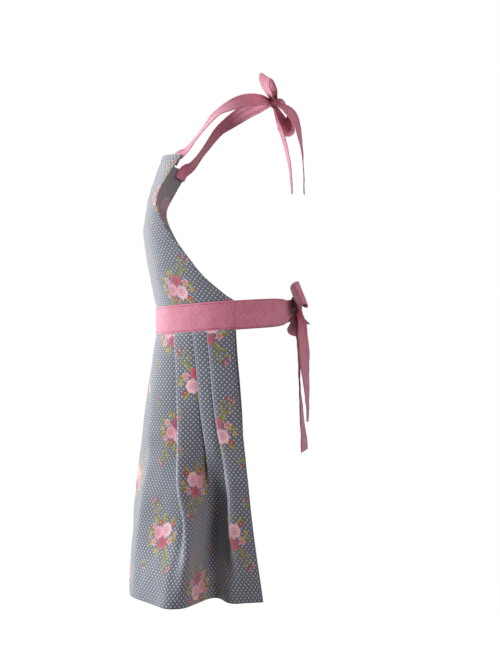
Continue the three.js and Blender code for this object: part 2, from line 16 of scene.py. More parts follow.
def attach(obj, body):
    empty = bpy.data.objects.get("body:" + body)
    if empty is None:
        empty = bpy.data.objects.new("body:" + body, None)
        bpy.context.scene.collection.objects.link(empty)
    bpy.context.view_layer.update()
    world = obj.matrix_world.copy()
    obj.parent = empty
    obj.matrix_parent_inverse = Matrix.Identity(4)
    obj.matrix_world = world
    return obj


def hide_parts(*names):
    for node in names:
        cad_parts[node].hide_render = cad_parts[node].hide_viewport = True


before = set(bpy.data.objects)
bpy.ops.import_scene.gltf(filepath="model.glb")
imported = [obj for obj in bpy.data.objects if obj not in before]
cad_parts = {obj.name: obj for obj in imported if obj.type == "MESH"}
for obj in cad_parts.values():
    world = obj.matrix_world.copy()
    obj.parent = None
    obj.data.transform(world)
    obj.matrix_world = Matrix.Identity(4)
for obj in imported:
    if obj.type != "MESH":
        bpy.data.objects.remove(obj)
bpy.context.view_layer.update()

NAPE = np.array((0.0, 82.0, 418.0))

CLOTH_WALL = 1.0
BIB_WALL = 1.4
BAND_WALL = 3.0
TIE_WALL = 1.2

WAIST_HALF_WIDTH = 142.0
WAIST_HALF_DEPTH = 121.0
WAIST_RISE = 0.067
BAND_HEIGHT = 48.0
SIDE_ANGLE = 99.0
SEAM_GAP = 0.3
SKIRT_DROP = 440.0
TIE_WIDTH = 48.0
HEM_EXTRA = 0.6


# Camera

def make_camera():
    data = bpy.data.cameras.new("side_camera")
    data.sensor_width = 36.0
    data.lens = 59.97
    camera = bpy.data.objects.new("side_camera", data)
    camera.location = (2.0, -0.036, -0.416)
    camera.rotation_euler = (math.radians(90), 0, math.radians(90))
    bpy.context.scene.collection.objects.link(camera)
    bpy.context.scene.camera = camera


make_camera()


# Shapes: general helpers

def smooth(low, high, value):
    t = np.clip((value - low) / (high - low), 0, 1)
    return t * t * (3 - 2 * t)


def unit(vectors):
    return vectors / np.maximum(np.linalg.norm(vectors, axis=-1), 1e-9)[..., None]


def waist_rise(y):
    return WAIST_RISE * (y + WAIST_HALF_DEPTH)


def row_at(table, value):
    """The row of a table at a value of its first column, on a smooth curve through the rows."""
    rows = np.array(table, float)
    low = int(np.clip(np.searchsorted(rows[:, 0], value, side="right") - 1, 0, len(rows) - 2))
    a, b = rows[low], rows[low + 1]
    before, after = rows[max(0, low - 1)], rows[min(len(rows) - 1, low + 2)]
    span = b[0] - a[0]
    u = min(1.0, max(0.0, (value - a[0]) / span))
    slope_a = (b - before) / (b[0] - before[0]) * span
    slope_b = (after - a) / (after[0] - a[0]) * span
    return (
        (2 * u**3 - 3 * u**2 + 1) * a
        + (u**3 - 2 * u**2 + u) * slope_a
        + (3 * u**2 - 2 * u**3) * b
        + (u**3 - u**2) * slope_b
    )


def curve_through(stations, count):
    """Points on a centripetal curve through the stations, and the way it runs at each."""
    known = np.array(stations, float)
    last = len(known) - 1
    ends = np.vstack([2 * known[0] - known[1], known, 2 * known[-1] - known[-2]])

    def at(t):
        p = last * min(1.0, max(0.0, t))
        i = min(int(p), last - 1)
        w = p - i
        p0, p1, p2, p3 = ends[i:i + 4]
        d0, d1, d2 = (float(np.sum((b - a) ** 2)) ** 0.25 for a, b in ((p0, p1), (p1, p2), (p2, p3)))
        d1 = d1 if d1 > 1e-4 else 1.0
        d0 = d0 if d0 > 1e-4 else d1
        d2 = d2 if d2 > 1e-4 else d1
        t1 = ((p1 - p0) / d0 - (p2 - p0) / (d0 + d1) + (p2 - p1) / d1) * d1
        t2 = ((p2 - p1) / d1 - (p3 - p1) / (d1 + d2) + (p3 - p2) / d2) * d1
        c2 = -3 * p1 + 3 * p2 - 2 * t1 - t2
        c3 = 2 * p1 - 2 * p2 + t1 + t2
        return p1 + t1 * w + c2 * w**2 + c3 * w**3

    shares = np.linspace(0, 1, count)
    points = np.array([at(t) for t in shares])
    ways = np.array([at(t + 1e-4) - at(t - 1e-4) for t in shares])
    return points, unit(ways)


def lengths_along(points):
    """Length from the first point to each point of a line."""
    steps = np.linalg.norm(np.diff(points, axis=0), axis=1)
    return np.concatenate([[0.0], np.cumsum(steps)])


# Bib

# up, centre front y, side edge x, side edge y, degrees that the section turns through
BIB_SECTIONS = [
    (0, -121, 140.3, 18.9, 99),
    (12, -123.5, 141.5, 3, 94),
    (50, -132, 139, -36, 84),
    (98, -140.5, 131, -72, 76),
    (136, -144, 122, -97, 72),
    (184, -136.5, 112, -113, 70),
    (226, -124.5, 107, -95, 64),
    (268, -111, 103, -70, 58),
]
BIB_HEIGHT = 268.0
BIB_CORNER_DROP = 9.0


def bib_row(share, across):
    """Points of the bib at a share of its height, and their places on the flat cloth."""
    _, front_y, edge_x, edge_y, wrap = row_at(BIB_SECTIONS, share * BIB_HEIGHT)
    wrap = math.radians(wrap)
    angles = np.linspace(0, wrap, 200)
    x = edge_x / math.sin(wrap) * np.sin(angles)
    y = front_y + (edge_y - front_y) / (1 - math.cos(wrap)) * (1 - np.cos(angles))
    length = lengths_along(np.stack([x, y], axis=1))
    wanted = np.abs(across) * length[-1]
    px = np.interp(wanted, length, x) * np.sign(across)
    py = np.interp(wanted, length, y)
    tilt = waist_rise(py) * (1 - share)
    drop = BIB_CORNER_DROP * share**3 * across**2
    pz = BAND_HEIGHT + SEAM_GAP + share * BIB_HEIGHT + tilt - drop
    flat = np.stack([wanted * np.sign(across), BAND_HEIGHT + share * BIB_HEIGHT - drop], axis=1)
    return np.stack([px, py, pz], axis=1), flat


def bib_grid(shares, across):
    made = [bib_row(share, across) for share in shares]
    return np.array([m[0] for m in made]), np.array([m[1] for m in made])


# Skirt

# down, centre front y, side edge x, side edge y, half a fold's turning length, degrees of bearing back
SKIRT_LEVELS = [
    (0, -119.5, 138.8, 18.7, 1.4, 0),
    (0.1, -128, 143, 21.5, 1.7, 8.5),
    (0.25, -139, 152, 27.5, 2.6, 10),
    (0.4, -147, 160, 35, 4.5, 8.5),
    (0.55, -154, 166, 42, 8, 7),
    (0.75, -161, 169, 52, 12, 1.5),
    (1, -166, 172, 68, 18, 0),
]
# flat length, heading at the hem, and for a pleat the shares of the drop where it starts and ends to open
SKIRT_CLOTH = [
    (74, 9, None),
    (34, 16, (0.02, 0.5)),
    (112, 50, None),
    (34, 102, (0.36, 1.05)),
    (64, 138, None),
    (24, 124, (0.3, 0.71)),
    (48, 37, None),
    (24, 105, (0.56, 1.03)),
    (44, 98, None),
]
SKIRT_HALF = float(sum(flat for flat, _, _ in SKIRT_CLOTH))
FOLD_ANGLE = 178.0
# Shares of the drop over which the folds take on the hem's headings
WAVES = (0.1, 0.85)
# How far the right side edge hangs in front of the left one at the hem, and the shares where that comes on
RIGHT_FORWARD = 13.0
RIGHT_FORWARD_DOWN = (0.2, 0.8)
# degrees round the waist, and how far the layers are drawn out there to be sewn into the band
SEAM_DRAW = [
    (0, 1.5), (15, 0.6), (28, 0.8), (37, 2.4), (47, 3.7), (63, 6), (66, 5), (77, 4.6), (83, 3), (99, 1.5),
]
SEAM_DRAW_DOWN = 0.15
# How fast the waist's line turns past the side, in degrees for each millimetre
BACK_TURN = 0.5

# Where each row of the cloth's table starts, along the flat cloth and round the pleated waist
CLOTH_STARTS = []
WAIST_STARTS = []
for number in range(len(SKIRT_CLOTH)):
    before = SKIRT_CLOTH[:number]
    CLOTH_STARTS.append(sum(row[0] for row in before))
    WAIST_STARTS.append(sum(-row[0] if row[2] else row[0] for row in before))

_angles = np.linspace(0, math.pi / 2, 400)
_quarter = np.stack([WAIST_HALF_WIDTH * np.sin(_angles), -WAIST_HALF_DEPTH * np.cos(_angles)], axis=1)
QUARTER_LENGTHS = lengths_along(_quarter)
QUARTER_HEADINGS = np.degrees(
    np.arctan2(WAIST_HALF_DEPTH * np.sin(_angles), WAIST_HALF_WIDTH * np.cos(_angles))
)


def waist_heading(length):
    """The way the waist heads at a length along it from centre front, in degrees."""
    heading = np.interp(length, QUARTER_LENGTHS, QUARTER_HEADINGS)
    return heading + BACK_TURN * np.maximum(0, length - QUARTER_LENGTHS[-1])


def belongs(flat, start, end, turn):
    return smooth(start - turn, start + turn, flat) - smooth(end - turn, end + turn, flat)


def pleats_at(down, turn):
    """The pleats at one level, by their number in the cloth's table."""
    samples = 60
    steepest = 0.3
    pleats = {}
    for i, (length, hem, opens) in enumerate(SKIRT_CLOTH):
        if not opens:
            continue
        start = CLOTH_STARTS[i]
        opened = float(smooth(*opens, down))
        middle = start + length / 2
        depth = length * (1 - opened)
        span = depth + 4 * turn
        flats = middle + span * ((np.arange(samples) + 0.5) / samples - 0.5)
        folded = belongs(flats, middle - depth / 2, middle + depth / 2, turn)
        rise = span / samples * float(np.sum(np.sin(math.pi * folded)))
        clear = middle + 1.5 * depth
        panel_end = CLOTH_STARTS[i + 1] + SKIRT_CLOTH[i + 1][0]
        has_next = i + 2 < len(SKIRT_CLOTH)
        slope = min(steepest, rise / (CLOTH_STARTS[i + 2] - clear)) if has_next else 0.0
        neighbours = max(SKIRT_CLOTH[i - 1][1], SKIRT_CLOTH[i + 1][1])
        pleats[i] = {
            "start": middle - depth / 2,
            "end": middle + depth / 2,
            "opened": opened,
            "loose": neighbours + (hem - neighbours) * opened,
            "clear": clear,
            "settled": panel_end + (SKIRT_CLOTH[i + 2][0] if has_next else 0),
            "settle": math.degrees(math.asin(slope)),
        }
    return pleats


def cloth_heading(flat, down, turn, bear, pleats):
    """The way the cloth heads at places on the flat, at one level, in radians."""
    beyond = 1e3
    waves = float(smooth(*WAVES, down))
    heading = bear * np.sin(math.pi * flat / SKIRT_HALF)
    last = len(SKIRT_CLOTH) - 1
    for i, (length, hem, opens) in enumerate(SKIRT_CLOTH):
        start = CLOTH_STARTS[i]
        begin = -beyond if i == 0 else start
        end = beyond if i == last else start + length
        forward = -1 if opens else 1
        pressed = waist_heading(WAIST_STARTS[i] + forward * (flat - start))
        calm = smooth(0, length, flat) if i == 0 else 1.0
        loose = calm * (pleats[i]["loose"] if opens else hem)
        heading = heading + (pressed + (loose - pressed) * waves) * belongs(flat, begin, end, turn)
    for pleat in pleats.values():
        heading = heading - FOLD_ANGLE * belongs(flat, pleat["start"], pleat["end"], turn)
        heading = heading + pleat["settle"] * belongs(flat, pleat["clear"], pleat["settled"], turn)
    return np.radians(heading)


def skirt_columns(turn, pleats):
    """Places along the flat cloth for the mesh's columns, close together round each fold."""
    fold_steps = np.linspace(-1, 1, 13)
    panel_step = 7.0
    least_half = 8.0
    fold_share = 0.42
    bounds = [0.0]
    for pleat in pleats.values():
        middle = (pleat["start"] + pleat["end"]) / 2
        half = max(least_half, (pleat["end"] - pleat["start"]) / 2)
        bounds += [middle - half, middle + half]
    bounds.append(SKIRT_HALF)
    room = [min(turn, fold_share * (b - a)) for a, b in zip(bounds, bounds[1:])]
    last = len(bounds) - 2
    places = [0.0]
    for i in range(last + 1):
        begin = bounds[i] + (room[i] if i else 0)
        end = bounds[i + 1] - (room[i] if i < last else 0)
        steps = max(2, round(SKIRT_CLOTH[i][0] / panel_step))
        places += [begin + (end - begin) * k / steps for k in range(1, steps)]
        if i == last:
            places.append(SKIRT_HALF)
        else:
            places += [bounds[i + 1] + f * room[i if f < 0 else i + 1] for f in fold_steps]
    return np.array(places)


def drawn_to_band(x, y, down):
    """A line of the skirt, drawn out to the band near the waist seam."""
    angles = np.degrees(np.arctan2(x / WAIST_HALF_WIDTH, -y / WAIST_HALF_DEPTH))
    out = waist_outward(angles)
    draw = np.array([row_at(SEAM_DRAW, a)[1] for a in angles])
    draw = draw * (1 - smooth(0, SEAM_DRAW_DOWN, down))
    return x + out[:, 0] * draw, y + out[:, 1] * draw


def skirt_half_line(down, forward=0.0):
    """The cloth's line at one level, drawn for the wearer's left: points, flat places and how creased it
    is, which sets the painted highlight along the fold edges. forward is how far the side edge hangs in
    front of its place in the table."""
    sub_steps = 6
    _, front_y, edge_x, edge_y, turn, bear = row_at(SKIRT_LEVELS, down)
    edge_y = edge_y - forward
    pleats = pleats_at(down, turn)
    places = skirt_columns(turn, pleats)
    steps = np.repeat(np.diff(places) / sub_steps, sub_steps)
    middles = np.concatenate([[0.0], np.cumsum(steps)])[:-1] + steps / 2
    heading = cloth_heading(middles, down, turn, bear, pleats)
    x = np.concatenate([[0.0], np.cumsum(steps * np.cos(heading))])[::sub_steps]
    y = np.concatenate([[0.0], np.cumsum(steps * np.sin(heading))])[::sub_steps]
    x = x * edge_x / x[-1]
    y = front_y + y * (edge_y - front_y) / y[-1]
    x, y = drawn_to_band(x, y, down)
    z = waist_rise(y) * (1 - down) - SEAM_GAP - SKIRT_DROP * down
    # Where the painted highlight lies: along each pleat's fold edge, fading as the pleat opens
    crease = np.zeros_like(places)
    crease_width = 0.8 * turn + 0.8
    for pleat in pleats.values():
        near = np.exp(-((places - pleat["end"]) / crease_width) ** 2)
        crease = np.maximum(crease, near * (1 - pleat["opened"]))
    flat = np.stack([places, np.full_like(places, -SKIRT_DROP * down)], axis=1)
    return np.stack([x, y, z], axis=1), flat, crease


def skirt_grid(levels):
    """Points, flat places and creases of the skirt, a row for each level from its left edge to its right."""
    mirrors = (np.array((-1.0, 1, 1)), np.array((-1.0, 1)), 1.0)
    grids = ([], [], [])
    for down in levels:
        forward = RIGHT_FORWARD * float(smooth(*RIGHT_FORWARD_DOWN, down))
        halves = zip(grids, skirt_half_line(down), skirt_half_line(down, forward), mirrors)
        for grid, left, right, mirror in halves:
            grid.append(np.concatenate([left[:0:-1], right * mirror]))
    return [np.array(grid) for grid in grids]


# Waistband, ties, straps and bows

def waist_points(angles, height):
    a = np.radians(angles)
    y = -WAIST_HALF_DEPTH * np.cos(a)
    return np.stack([WAIST_HALF_WIDTH * np.sin(a), y, height + waist_rise(y)], axis=1)


def waist_outward(angles):
    a = np.radians(angles)
    out = np.stack([np.sin(a) / WAIST_HALF_WIDTH, -np.cos(a) / WAIST_HALF_DEPTH, 0 * a], axis=1)
    return unit(out)


WAIST_KNOT = {"centre": (0, 129, 57), "half": (12, 9, 15)}
NECK_KNOT = {"centre": (0, 87, 418), "half": (9, 7, 10)}


def tie_stations():
    """From the band's end round the side, narrowing and climbing to the knot."""
    gathers = (140, 178)
    climb, narrowed, crimp = 14, 0.55, 1.6
    stations = []
    for angle in (SIDE_ANGLE - 0.5, 112, 124, 136, 147, 156, 164):
        gather = float(smooth(*gathers, angle))
        x, y, z = waist_points(np.array([angle]), BAND_HEIGHT / 2 + climb * gather**2)[0]
        a = math.radians(angle)
        width = TIE_WIDTH * (1 - narrowed * gather)
        stations.append((x, y, z, width, crimp * gather, math.sin(a), -math.cos(a), 0))
    x, y, z = WAIST_KNOT["centre"]
    stations.append((x, y - 7, z, 15, 1.2, 0, 1, 0))
    return stations


def loop_stations(start, out, up, length, height, droop, width):
    """A bow's loop: out from the knot along one way, round, and back above itself."""
    count = 12
    fuller_end, apart = 0.45, 0.12
    pinched, crimp = 0.34, 2.2
    ahead = unit(np.array(out, float))
    side = unit(np.cross(ahead, np.array(up, float)))
    rise = np.cross(side, ahead)
    stations = []
    for i in range(count + 1):
        turn = 2 * math.pi * i / count
        reach = (1 - math.cos(turn)) / 2
        across = -math.sin(turn) * (1 - fuller_end * math.cos(turn)) * 0.5 + apart * (i / count - 0.5)
        gather = float(smooth(0, 0.5, reach))
        x, y, z = np.array(start) + ahead * length * reach + rise * height * across
        face = -ahead * math.cos(turn) - rise * math.sin(turn)
        wide = width * (pinched + (1 - pinched) * gather)
        stations.append((x, y, z - droop * reach**2, wide, crimp * (1 - gather), *face))
    return stations


# x, y, z, width, crimp, and the way the strip faces
WAIST_TAIL_LEFT = [
    (3, 132, 47, 15, 1.8, 0.45, 0.9, 0.1),
    (9, 138, 26, 28, 1.4, 0.5, 0.85, 0),
    (16, 141, -8, 41, 0.8, 0.5, 0.86, 0),
    (23, 144, -60, 47, 0.5, 0.36, 0.93, 0),
    (28, 147, -110, 48, 0.4, 0.2, 0.98, 0),
    (31, 148, -154, 48, 0.2, 0.08, 0.99, 0),
]
WAIST_TAIL_RIGHT = [
    (-2, 127, 43, 14, 1.4, -0.3, 0.95, 0.1),
    (-8, 128, 20, 28, 1.4, -0.25, 0.95, 0),
    (-22, 134, -18, 41, 0.8, -0.1, 1, 0),
    (-31, 136, -80, 47, 0.5, 0.05, 1, 0),
    (-36, 141, -150, 48, 0.4, 0.16, 0.98, 0),
    (-38, 146, -213, 48, 0.2, 0.3, 0.95, 0),
]
WAIST_LOOP_LEFT = loop_stations((0, 132, 57), (0.98, 0, 0.14), (0, 0.92, 0.38), 90, 13, -2, 42)
WAIST_LOOP_RIGHT = loop_stations((0, 132, 57), (-0.97, 0.02, 0), (0, 0.98, 0.05), 90, 16, 40, 42)
STRAP_LEFT = [
    (92.3, -86.5, 292, 28, 0, 0.58, -0.76, 0.3),
    (91.3, -78.5, 306, 28, 0, 0.58, -0.74, 0.36),
    (93, -64, 316, 28, 0, 0.42, -0.7, 0.56),
    (92, -47, 337, 28, 0, 0.26, -0.68, 0.68),
    (88, -30, 359, 28, 0, 0.3, -0.58, 0.76),
    (82, -13, 380, 28, 0, 0.42, -0.38, 0.82),
    (74, 5, 393, 28, 0.1, 0.6, -0.08, 0.8),
    (63, 22, 403, 28, 0.2, 0.7, 0.22, 0.68),
    (50, 39, 411, 27, 0.4, 0.72, 0.45, 0.52),
    (34, 57, 416, 25, 0.7, 0.62, 0.64, 0.44),
    (17, 72, 418, 19, 1, 0.4, 0.86, 0.3),
    (0, 84, 417, 10, 1, 0.1, 0.98, 0.15),
]
NECK_TAIL_LEFT = [
    (3, 90, 413, 11, 1, 0.5, 0.5, 0.7),
    (9, 102, 410, 20, 0.9, 0.66, 0.45, 0.6),
    (16, 117, 398, 26, 0.6, 0.7, 0.52, 0.48),
    (21, 129, 376, 28, 0.4, 0.52, 0.82, 0.25),
    (24, 137, 335, 28, 0.2, 0.2, 0.97, 0),
    (26, 141, 292, 28, 0.1, 0.06, 1, 0),
    (27, 142, 250, 28, 0, 0.1, 1, 0),
]
NECK_TAIL_RIGHT = [
    (-1, 89, 410, 9, 1.2, -0.2, 0.95, 0.2),
    (-5, 93, 394, 16, 0.9, -0.2, 0.95, 0.2),
    (-11, 101, 372, 24, 0.6, -0.2, 0.92, 0.3),
    (-16, 110, 344, 27, 0.4, -0.15, 0.95, 0.2),
    (-19, 118, 306, 28, 0.2, -0.1, 0.98, 0.1),
    (-20, 123, 256, 28, 0, 0, 1, 0.05),
]
NECK_LOOP_LEFT = loop_stations((0, 90, 421), (0.8, -0.3, 0.52), (-0.2, 0.7, 0.64), 58, 11, -3, 28)
NECK_LOOP_RIGHT = loop_stations((-2, 89, 419), (-0.88, 0.45, 0.05), (0.3, 0.8, 0.3), 62, 16, 42, 28)


def mirrored(stations):
    return [(-s[0], s[1], s[2], s[3], s[4], -s[5], s[6], s[7]) for s in stations]


def strip_grid(stations, steps, shares):
    """A strip of cloth through stations. shares run from -1 to 1 across it."""
    crimp_waves = 2.5
    table = np.array(stations, float)
    middle, along = curve_through(table[:, 0:3], steps + 1)
    facing, _ = curve_through(table[:, 5:8], steps + 1)
    make, _ = curve_through(table[:, [3, 4, 4]], steps + 1)
    side = unit(np.cross(facing, along))
    out = np.cross(along, side)
    width, crimp = make[:, 0], make[:, 1]
    wave = np.cos(crimp_waves * math.pi * shares)
    points = (
        middle[:, None]
        + side[:, None] * (shares[None, :, None] * width[:, None, None] / 2)
        + out[:, None] * (wave[None, :, None] * crimp[:, None, None])
    )
    run = lengths_along(middle)
    full = table[:, 3].max()
    flat = np.stack(np.broadcast_arrays(shares[None, :] * full / 2, run[:, None]), axis=2)
    return points, flat


# Meshes

def to_part(points):
    return (np.asarray(points, float) - NAPE) / 1000


def new_object(name, bm, materials):
    mesh = bpy.data.meshes.new(name)
    bm.to_mesh(mesh)
    bm.free()
    for material in materials:
        mesh.materials.append(material)
    made = bpy.data.objects.new(name, mesh)
    bpy.context.scene.collection.objects.link(made)
    return made


def new_piece(name, bm, materials):
    piece = new_object(name, bm, materials)
    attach(piece, "root")
    return piece


def cloth_layers(bm):
    # fold_edge_highlight carries the painted highlight along the fold edges, gathered the painted shade on
    # the pink
    edge_highlights, gathers = bm.verts.layers.float.new("fold_edge_highlight"), bm.verts.layers.float.new("gathered")
    return bm.loops.layers.uv.new("flat_cloth"), edge_highlights, gathers


def crumple_at(points, size):
    """How far crumpled cloth stands in or out at places, as a share of its crumple."""
    finer, finer_share, elsewhere = 2.3, 0.5, Vector((7, 3, 1))
    bends = []
    for point in points.reshape(-1, 3):
        spot = Vector(point) / size
        bends.append(noise.noise(spot) + finer_share * noise.noise(spot * finer + elsewhere))
    return np.array(bends).reshape(points.shape[:-1])


def cloth_mesh(points, flat, crumple, crumple_size, loose=1.0, crease=None, gathered=None):
    """A sheet of cloth on a grid of points, with its flat places as the UV map. loose is the share of the
    crumple that it has, crease sets the painted highlight along the fold edges, and gathered has a share for
    each row that sets the painted shade on the pink."""
    rows, columns = points.shape[:2]
    placed = to_part(points)
    bm = bmesh.new()
    bmesh.ops.create_grid(bm, x_segments=columns - 1, y_segments=rows - 1, size=1)
    cells = {}
    for vert in bm.verts:
        c = round((vert.co.x + 1) / 2 * (columns - 1))
        r = round((vert.co.y + 1) / 2 * (rows - 1))
        cells[vert.index] = (r, c)
    uv, fold, painted_shade_layer = cloth_layers(bm)
    for vert in bm.verts:
        r, c = cells[vert.index]
        vert.co = placed[r, c]
        vert[painted_shade_layer] = 0.0 if gathered is None else float(gathered[r])
        vert[fold] = 0.0 if crease is None else float(crease[r, c])
    for face in bm.faces:
        face.smooth = True
        for loop in face.loops:
            r, c = cells[loop.vert.index]
            loop[uv].uv = flat[r, c] / 1000
    bm.normal_update()
    bends = crumple_at(points, crumple_size) * crumple / 1000 * loose
    for vert in bm.verts:
        vert.co += vert.normal * float(bends[cells[vert.index]])
    return bm, cells


def give_wall(piece, wall, hem=0.0):
    """Thickness on both sides of the sheet. hem is what the vertex group of the turned edges has more."""
    solid = piece.modifiers.new("wall", "SOLIDIFY")
    solid.thickness = (wall + hem) / 1000
    solid.offset = 0
    solid.use_even_offset = True
    solid.material_offset = 1
    if hem:
        solid.vertex_group = "hem"
        solid.thickness_vertex_group = wall / (wall + hem)


def hem_group(piece, cells, share):
    """The vertex group of the turned edges, where the cloth lies double."""
    group = piece.vertex_groups.new(name="hem")
    for index, (r, c) in cells.items():
        group.add([index], float(share[r, c]), "REPLACE")


STITCH_PITCH = 3.2
STITCH_LENGTH = 2.3


def stitch_row(bm, points, outward, lift, radius=0.32):
    """A row of stitches along a line of points in the body frame: one thread that dips into the cloth
    between stitches."""
    sides = 6
    dip, crown, flattened = -0.7, 0.2 * radius, 0.8
    places = np.array((-0.5, -0.44, -0.2, 0.2, 0.44, 0.5)) * STITCH_LENGTH
    sunk = np.array((dip, 0, crown, crown, 0, dip))
    run = lengths_along(points)
    count = int(run[-1] / STITCH_PITCH)
    at = ((np.arange(count) + 0.5)[:, None] * STITCH_PITCH + places[None]).ravel()
    depth = np.tile(sunk, count) + lift

    def along(data, where):
        return np.stack([np.interp(where, run, data[:, i]) for i in range(3)], axis=1)

    way = unit(along(points, at + 0.5) - along(points, at - 0.5))
    out = along(outward, at)
    out = unit(out - way * np.sum(out * way, axis=1)[:, None])
    side = np.cross(out, way)
    turns = np.linspace(0, 2 * math.pi, sides + 1)
    ring = (
        side[:, None] * (radius * np.cos(turns))[None, :, None]
        + out[:, None] * (flattened * radius * np.sin(turns))[None, :, None]
    )
    placed = to_part((along(points, at) + out * depth[:, None])[:, None] + ring)
    last = len(at) - 1
    made = bmesh.ops.create_grid(bm, x_segments=sides, y_segments=last, size=1)["verts"]
    for vert in made:
        c = round((vert.co.x + 1) / 2 * sides)
        r = round((vert.co.y + 1) / 2 * last)
        vert.co = placed[r, c]
    bmesh.ops.remove_doubles(bm, verts=made, dist=1e-7)


def stitches(name, rows, material):
    bm = bmesh.new()
    for row in rows:
        stitch_row(bm, **row)
    for face in bm.faces:
        face.smooth = True
    piece = new_piece(name, bm, [material])
    return piece


def sewn_line(line, inside, crumple, size, lift, side=1):
    """A row of stitches from its line and a second line just inside it, moved with the crumpled cloth."""
    out = unit(np.cross(np.gradient(line, axis=0), inside - line)) * side
    moved = line + out * (crumple * crumple_at(line, size))[:, None]
    return {"points": moved, "outward": out, "lift": lift}


# Materials

def linear(red, green, blue):
    """A colour as the eye knows it, 0 to 255, as a node wants it."""
    made = []
    for value in (red, green, blue):
        v = value / 255
        made.append(v / 12.92 if v <= 0.04045 else ((v + 0.055) / 1.055) ** 2.4)
    return (*made, 1.0)


class Graph:
    """Short ways to add nodes to a material or a node group."""

    def __init__(self, tree):
        self.tree = tree

    def put(self, value, socket):
        if isinstance(value, bpy.types.NodeSocket):
            self.tree.links.new(value, socket)
        else:
            socket.default_value = value

    def add(self, kind, inputs=None, **settings):
        """A node with its settings, and with its inputs by number or name."""
        node = self.tree.nodes.new(kind)
        for name, value in settings.items():
            setattr(node, name, value)
        for key, value in (inputs or {}).items():
            self.put(value, node.inputs[key])
        return node

    def math(self, operation, *values, clamp=False):
        inputs = dict(enumerate(values))
        return self.add("ShaderNodeMath", inputs, operation=operation, use_clamp=clamp).outputs[0]

    def vector(self, operation, *values):
        node = self.add("ShaderNodeVectorMath", dict(enumerate(values)), operation=operation)
        return node.outputs[1 if operation == "LENGTH" else 0]

    def parts(self, vector):
        node = self.add("ShaderNodeSeparateXYZ", {0: vector})
        return node.outputs[0], node.outputs[1]

    def joined(self, x, y):
        return self.add("ShaderNodeCombineXYZ", {0: x, 1: y}).outputs[0]

    def mix(self, factor, low, high, blend="MIX"):
        inputs = {0: factor, 6: low, 7: high}
        return self.add("ShaderNodeMix", inputs, data_type="RGBA", blend_type=blend).outputs[2]

    def fade(self, value, none, full):
        """0 at none and beyond it, 1 at full and beyond it."""
        inputs = {0: value, 1: none, 2: full}
        return self.add("ShaderNodeMapRange", inputs, interpolation_type="SMOOTHSTEP").outputs[0]

    def local(self, vector, x, y, angle, length, width):
        """A motif's own coordinates: 1 at its tips and sides."""
        inputs = {0: vector, 1: (x, y, 0), 2: (0, 0, math.radians(angle)), 3: (length, width, 1)}
        return self.add("ShaderNodeMapping", inputs, vector_type="TEXTURE").outputs[0]

    def noise(self, vector, scale, detail=2.0):
        inputs = {"Vector": vector, "Scale": scale, "Detail": detail}
        return self.add("ShaderNodeTexNoise", inputs, noise_dimensions="2D").outputs[0]


def new_group(name, inputs, outputs):
    group = bpy.data.node_groups.new(name, "ShaderNodeTree")
    for way, sockets in (("INPUT", inputs), ("OUTPUT", outputs)):
        for label, kind in sockets:
            group.interface.new_socket(label, in_out=way, socket_type=kind)
    g = Graph(group)
    return group, g, g.add("NodeGroupInput").outputs, g.add("NodeGroupOutput").inputs


FLOAT, COLOUR, VECTOR = "NodeSocketFloat", "NodeSocketColor", "NodeSocketVector"


def flower_group(name, *colours):
    """A group with a flower's own coordinates and its colours given, and its mask and colour to put out."""
    inputs = [("Vector", VECTOR)] + [(label, COLOUR) for label in colours]
    return new_group(name, inputs, [("Mask", FLOAT), ("Colour", COLOUR)])


def leaf_group():
    """A pointed leaf with a dark rib and one side in shade."""
    group, g, given, out = new_group("leaf", [("Vector", VECTOR)], [("Mask", FLOAT), ("Shade", FLOAT)])
    along, across = g.parts(given[0])
    away = g.math("ABSOLUTE", across)
    edge = g.math("MULTIPLY_ADD", along, along, away)
    g.put(g.fade(edge, 1.0, 0.82), out[0])
    rib = g.fade(away, 0.2, 0.05)
    side = g.fade(across, -0.15, 0.25)
    g.put(g.math("MAXIMUM", rib, g.math("MULTIPLY", side, 0.55)), out[1])
    return group


def bloom_group():
    """A full round flower: scalloped rings of petals, each dark at its foot and pale at its rim."""
    group, g, given, out = flower_group("bloom", "Pale", "Deep")
    x, y = g.parts(given[0])
    rings, petals_round, ring_turn, scallop_depth = 2.6, 7.0, 2.4, -0.055
    reach = g.vector("LENGTH", given[0])
    angle = g.math("ARCTAN2", y, x)
    ring = g.math("FLOOR", g.math("MULTIPLY", reach, rings))
    turned = g.math("MULTIPLY_ADD", angle, petals_round, g.math("MULTIPLY", ring, ring_turn))
    scallop = g.math("MULTIPLY_ADD", g.math("COSINE", turned), scallop_depth, reach)
    g.put(g.fade(scallop, 1.0, 0.9), out[0])
    within = g.math("FRACT", g.math("MULTIPLY", scallop, rings))
    tint = g.math("MULTIPLY_ADD", g.fade(within, 0.02, 0.5), 0.55, g.math("MULTIPLY", reach, 0.5))
    lit = g.math("MULTIPLY_ADD", g.math("SUBTRACT", y, x), 0.14, tint, clamp=True)
    g.put(g.mix(lit, given[2], given[1]), out[1])
    return group


def blossom_group():
    """A small open flower with five petals and a coloured eye."""
    half_petals, notch = 2.5, 0.55
    group, g, given, out = flower_group("blossom", "Pale", "Deep", "Eye")
    x, y = g.parts(given[0])
    reach = g.vector("LENGTH", given[0])
    angle = g.math("ARCTAN2", y, x)
    petal = g.math("ABSOLUTE", g.math("COSINE", g.math("MULTIPLY", angle, half_petals)))
    rim = g.math("MULTIPLY_ADD", petal, 1 - notch, notch)
    within = g.math("DIVIDE", reach, rim)
    g.put(g.fade(within, 1.0, 0.85), out[0])
    body = g.mix(g.fade(within, 0.25, 0.85), given[2], given[1])
    g.put(g.mix(g.fade(reach, 0.3, 0.2), body, given[3]), out[1])
    return group


